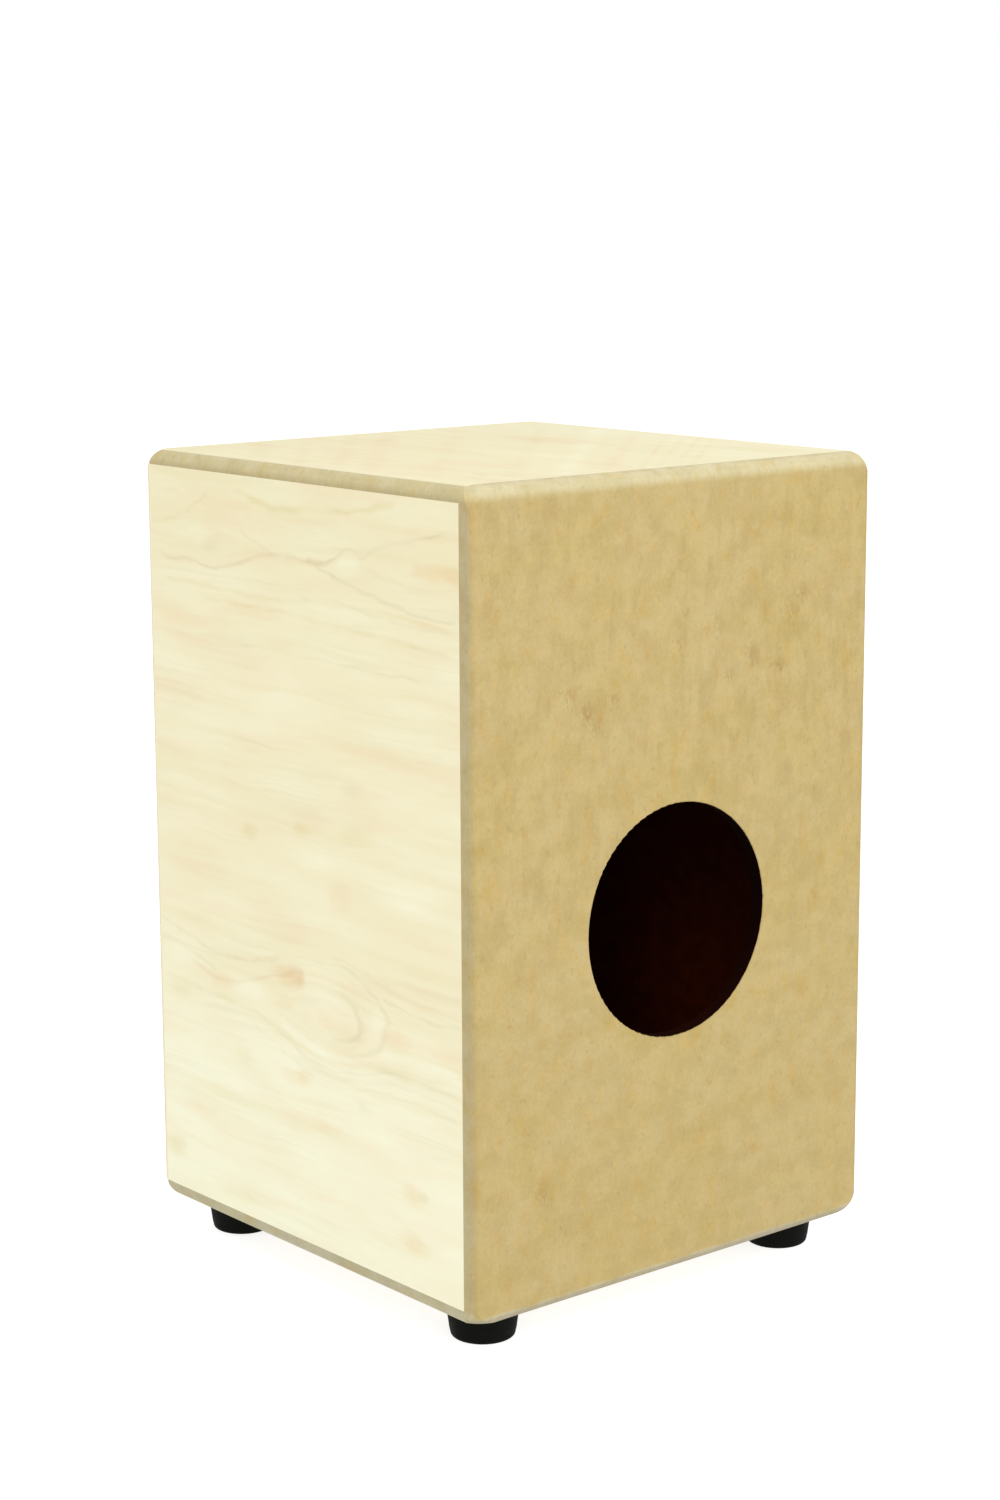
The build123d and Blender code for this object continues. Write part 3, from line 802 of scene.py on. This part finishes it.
# Darker flecks in the back panel: centre, radii, strength
BACK_FLECKS = [
    ((-97, 150, 401), (8, 2, 9), 0.5),
    ((-89, 150, 393), (7, 2, 8), 0.45),
    ((-57, 150, 373), (8, 2, 8), 0.45),
    ((-77, 150, 362), (8, 2, 5), 0.6),
    ((-38, 150, 360), (6, 2, 6), 0.45),
    ((68, 150, 355), (9, 2, 8), 0.55),
    ((80, 150, 363), (8, 2, 8), 0.45),
    ((48, 150, 358), (8, 2, 5), 0.4),
    ((62, 150, 346), (6, 2, 8), 0.35),
    ((0, 150, 384), (7, 2, 7), 0.4),
    ((-30, 150, 392), (6, 2, 10), 0.25),
    ((101, 150, 90), (7, 2, 10), 0.35),
    ((-96, 150, 168), (14, 2, 9), 0.2),
    ((20, 150, 452), (6, 2, 8), 0.2),
]

materials = {
    "back_mdf": mdf("back_mdf", 11, BACK_FLECKS),
    "board_mdf": mdf("board_mdf", 23),
    "right_side_maple": maple("right_side_maple", SIDE_MAPLE, "y", "z", RIGHT_SIDE_FIGURE, 1.0),
    "left_side_maple": maple("left_side_maple", SIDE_MAPLE, "y", "z", LEFT_SIDE_FIGURE, 31.0),
    "seat_maple": maple("seat_maple", SEAT_MAPLE, "y", "x", SEAT_FIGURE, 57.0),
    "tapa_maple": maple("tapa_maple", SIDE_MAPLE, "z", "x", TAPA_FIGURE, 83.0, tapa=True),
    "stained_pine": stained_pine("stained_pine"),
    "bar_beech": beech("bar_beech", (2.4, 0.35, 0.35)),
    "block_beech": beech("block_beech", (0.35, 0.35, 2.4)),
    "rubber": rubber("rubber"),
    "zinc": metal("zinc", rgba(205, 207, 212), rgba(186, 186, 184), 0.3, (0.6, 0.6, 0.6)),
    "steel": metal("steel", rgba(200, 200, 198), rgba(180, 178, 174), 0.28),
    "black_screw": black_screw("black_screw"),
}
USED_ON = {
    "back_mdf": ["back_panel"],
    "board_mdf": ["seat_panel", "base_panel", "left_side_panel", "right_side_panel"],
    "right_side_maple": ["right_side_veneer"],
    "left_side_maple": ["left_side_veneer"],
    "seat_maple": ["seat_veneer"],
    "tapa_maple": ["tapa"],
    "stained_pine": [n for n in frame["nodes"] if "batten" in n],
    "bar_beech": ["snare_bar"],
    "block_beech": ["snare_block_left", "snare_block_right"],
    "zinc": ["snare_block_screws", "snare_plate_screws", "foot_screws", "foot_washers"],
    "steel": ["snare_plate_left", "snare_plate_right"],
    "black_screw": ["tapa_screws"],
}
for material_name, nodes in USED_ON.items():
    for node in nodes:
        frame["nodes"][node].material_slots[0].material = materials[material_name]


# ---------------------------------------------------------------- meshes

def mesh_piece(name, points, faces, material, body, replaced=()):
    """A smooth-shaded piece that rides on a body."""
    mesh = bpy.data.meshes.new(name)
    mesh.from_pydata(points, [], faces)
    mesh.shade_smooth()
    mesh.materials.append(material)
    piece = bpy.data.objects.new(name, mesh)
    bpy.context.scene.collection.objects.link(piece)
    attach(piece, body)
    if replaced:
        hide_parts(*replaced)
    return piece


def arc(centre, radius, start, end, steps):
    """Points of an arc in (radius, height), angles in degrees."""
    points = []
    for i in range(steps + 1):
        angle = math.radians(start + (end - start) * i / steps)
        points.append((centre[0] + radius * math.cos(angle), centre[1] + radius * math.sin(angle)))
    return points


# Feet: the CAD outline with a rounded recess lip and grip grooves under the tread, in millimetres
FOOT_SEGMENTS = 96
FOOT_BOTTOM_R = 18.4
FOOT_FILLET = 2.3
RECESS_R = 9.5
RECESS_DEPTH = 10.0
SHANK_R = 2.1
LIP_R = 0.8
RECESS_FILLET = 0.5
FOOT_TOP_FILLET = 0.8
WAIST = 0.25  # how far the side curves in halfway up
SIDE_STEPS = 6
GROOVE_R = 0.45
GROOVES = (11.8, 13.5, 15.2)


def foot_profile(top_r, height):
    """A foot's closed outline in (radius, height), from the screw hole round by the tread to the top."""
    taper = (top_r - FOOT_BOTTOM_R) / height
    outline = [(SHANK_R, RECESS_DEPTH)]
    recess_corner = (RECESS_R - RECESS_FILLET, RECESS_DEPTH - RECESS_FILLET)
    outline += arc(recess_corner, RECESS_FILLET, 90, 0, 4)
    outline += arc((RECESS_R + LIP_R, LIP_R), LIP_R, 180, 270, 6)
    for radius in GROOVES:
        outline += arc((radius, 0.0), GROOVE_R, 180, 0, 8)
    outline += arc((FOOT_BOTTOM_R - FOOT_FILLET, FOOT_FILLET), FOOT_FILLET, 270, 355, 10)
    for i in range(1, SIDE_STEPS):
        z = FOOT_FILLET + (height - 2 * FOOT_TOP_FILLET - FOOT_FILLET) * i / SIDE_STEPS
        waist = WAIST * math.sin(math.pi * i / SIDE_STEPS)
        outline.append((FOOT_BOTTOM_R + taper * z - waist, z))
    outline += arc((top_r - FOOT_TOP_FILLET, height - FOOT_TOP_FILLET), FOOT_TOP_FILLET, 0, 90, 6)
    outline.append((SHANK_R, height))
    return outline


def lathe(outline, centre, segments):
    """Points and faces of a closed outline turned about a vertical axis."""
    points, faces = [], []
    count = len(outline)
    for s in range(segments):
        angle = 2 * math.pi * s / segments
        for radius, height in outline:
            points.append((
                centre.x + radius * MM * math.cos(angle),
                centre.y + radius * MM * math.sin(angle),
                centre.z + height * MM,
            ))
    for s in range(segments):
        here, there = s * count, (s + 1) % segments * count
        for i in range(count):
            j = (i + 1) % count
            faces.append((here + i, there + i, there + j, here + j))
    return points, faces


def make_foot(node):
    """A turned rubber foot in place of the plain CAD one."""
    low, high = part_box(node)
    centre = Vector(((low.x + high.x) / 2, (low.y + high.y) / 2, low.z))
    outline = foot_profile((high.x - low.x) / 2 / MM, (high.z - low.z) / MM)
    points, faces = lathe(outline, centre, FOOT_SEGMENTS)
    name = node.replace("foot", "rubber_foot")
    mesh_piece(name, points, faces, materials["rubber"], "box", [node])


for end in ("front", "rear"):
    for side in ("left", "right"):
        make_foot(f"foot_{end}_{side}")

# Snare coils, in millimetres
STRANDS = 10
COIL_TURNS = 82
WIRE_R = 0.21
TURN_STEPS = 9
WIRE_SIDES = 5
START_TURN = 0.7  # radians from one strand's start to the next one's


def coil(top, length, outer_r, start_angle):
    """Points and faces of one coiled strand that hangs straight down from top."""
    middle_r = outer_r - WIRE_R
    steps = COIL_TURNS * TURN_STEPS
    pitch = length / COIL_TURNS
    slope = math.atan2(pitch, 2 * math.pi * middle_r)
    points, faces = [], []
    for i in range(steps + 1):
        angle = start_angle + 2 * math.pi * i / TURN_STEPS
        outward = Vector((math.cos(angle), math.sin(angle), 0))
        level = Vector((-math.sin(angle), math.cos(angle), 0))
        along = level * math.cos(slope) + Vector((0, 0, -math.sin(slope)))
        sideways = along.cross(outward)
        middle = top + outward * middle_r + Vector((0, 0, -length * i / steps))
        for k in range(WIRE_SIDES):
            turn = 2 * math.pi * k / WIRE_SIDES
            points.append(middle + (outward * math.cos(turn) + sideways * math.sin(turn)) * WIRE_R)
    for i in range(steps):
        for k in range(WIRE_SIDES):
            a, b = i * WIRE_SIDES + k, i * WIRE_SIDES + (k + 1) % WIRE_SIDES
            faces.append((a, b, b + WIRE_SIDES, a + WIRE_SIDES))
    last = steps * WIRE_SIDES
    faces.append(tuple(range(WIRE_SIDES))[::-1])
    faces.append(tuple(range(last, last + WIRE_SIDES)))
    return points, faces


def make_coils(side):
    """One snare set's coiled strands in place of its plain CAD rods."""
    node = f"snare_wires_{side}"
    low, high = span(node)
    outer_r = (high.y - low.y) / 2
    points, faces = [], []
    for i in range(STRANDS):
        x = low.x + outer_r + (high.x - low.x - 2 * outer_r) * i / (STRANDS - 1)
        top = Vector((x, (low.y + high.y) / 2, high.z - WIRE_R))
        strand, strand_faces = coil(top, high.z - low.z - 2 * WIRE_R, outer_r, START_TURN * i)
        start = len(points)
        points += [p * MM for p in strand]
        faces += [tuple(start + index for index in face) for face in strand_faces]
    mesh_piece(f"snare_coils_{side}", points, faces, materials["steel"], "snares", [node])


for side in ("left", "right"):
    make_coils(side)


# ---------------------------------------------------------------- floor, light and camera

FLOOR_HALF = 20.0


def make_floor():
    """A pale floor that also glows a little, so that the shadow under the box stays soft."""
    half = FLOOR_HALF
    mesh = bpy.data.meshes.new("floor")
    corners = [(-half, -half, 0), (half, -half, 0), (half, half, 0), (-half, half, 0)]
    mesh.from_pydata(corners, [], [(0, 1, 2, 3)])
    floor = bpy.data.objects.new("floor", mesh)
    bpy.context.scene.collection.objects.link(floor)
    shader = Shader("studio_floor")
    tone = shader.noise((120, 120, 120), 99, 1)
    mesh.materials.append(shader.finish(
        shader.mix(tone.ramp(0.3, 0.7), (0.33, 0.33, 0.33, 1), (0.35, 0.35, 0.35, 1)),
        0.9,
        **{"Emission Color": (1, 1, 1, 1), "Emission Strength": 0.84},
    ))


def direction(azimuth, elevation):
    """From the box towards a place in degrees: azimuth 0 is in front of the tapa and 90 to its right."""
    a, e = math.radians(azimuth), math.radians(elevation)
    return Vector((math.sin(a) * math.cos(e), -math.cos(a) * math.cos(e), math.sin(e)))


def area_light(name, azimuth, elevation, distance, size, power):
    """A square soft light that faces the middle of the box."""
    back = direction(azimuth, elevation)
    data = bpy.data.lights.new(name, "AREA")
    data.shape, data.size, data.energy = "SQUARE", size, power
    light = bpy.data.objects.new(name, data)
    light.location = Vector((0, 0, (cad_low.z + cad_high.z) / 2)) + back * distance
    light.rotation_mode = "QUATERNION"
    light.rotation_quaternion = back.to_track_quat("Z", "Y")
    bpy.context.scene.collection.objects.link(light)


def make_world():
    """Even white light from all round."""
    world = bpy.data.worlds.new("studio")
    world.use_nodes = True
    world.node_tree.nodes["Background"].inputs["Color"].default_value = (1, 1, 1, 1)
    world.node_tree.nodes["Background"].inputs["Strength"].default_value = 1.0
    bpy.context.scene.world = world


# Camera: its direction from the box in degrees, its roll in radians, and the point that it aims at
CAMERA_AZIMUTH = 140.053
CAMERA_ELEVATION = 10.95
CAMERA_ROLL = -0.00445
CAMERA_DISTANCE = 1.7844
CAMERA_AIM_HEIGHT = 0.30133
CAMERA_AIM_SIDEWAYS = -0.00347
CAMERA_LENS = 71.98
CAMERA_SENSOR = 36.0


def make_camera():
    """The camera, placed by its direction from the box."""
    back = direction(CAMERA_AZIMUTH, CAMERA_ELEVATION)
    level = (-back).cross(Vector((0, 0, 1))).normalized()
    upright = level.cross(-back)
    right = level * math.cos(CAMERA_ROLL) + upright * math.sin(CAMERA_ROLL)
    up = upright * math.cos(CAMERA_ROLL) - level * math.sin(CAMERA_ROLL)
    place = back * CAMERA_DISTANCE + level * CAMERA_AIM_SIDEWAYS + Vector((0, 0, CAMERA_AIM_HEIGHT))
    data = bpy.data.cameras.new("camera")
    data.lens, data.sensor_width = CAMERA_LENS, CAMERA_SENSOR
    camera = bpy.data.objects.new("camera", data)
    camera.matrix_world = Matrix.Translation(place) @ Matrix((right, up, back)).transposed().to_4x4()
    bpy.context.scene.collection.objects.link(camera)
    bpy.context.scene.camera = camera


make_floor()
make_world()
area_light("key", azimuth=172, elevation=40, distance=2.6, size=2.2, power=36)
make_camera()
bpy.context.scene.view_settings.view_transform = "Standard"
